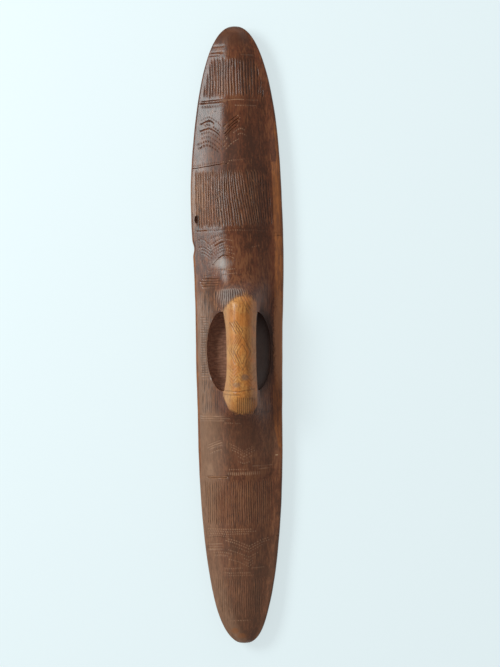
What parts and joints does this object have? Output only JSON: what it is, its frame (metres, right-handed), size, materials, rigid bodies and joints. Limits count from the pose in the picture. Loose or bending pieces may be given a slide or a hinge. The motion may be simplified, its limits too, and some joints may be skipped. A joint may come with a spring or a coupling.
{
  "type": "parrying shield",
  "caption": "Long narrow hardwood parrying shield with rounded ends, a grip carved from the solid over a scooped hollow, and bands of flutes, lines and zigzags.",
  "frame": {"origin": "on the flat strip of the front, midway along and across the shield", "axes": "+Y towards the upper tip, +X to the right seen from the grip side, +Z out of the grip side; the shield lies on its front"},
  "size_m": [0.111, 0.74, 0.064],
  "materials": {
    "carved_hardwood": "oiled and handled, dark red-brown, lighter and polished on the grip"
  },
  "bodies": {
    "root": {"shield": "carved_hardwood"}
  },
  "joints": []
}
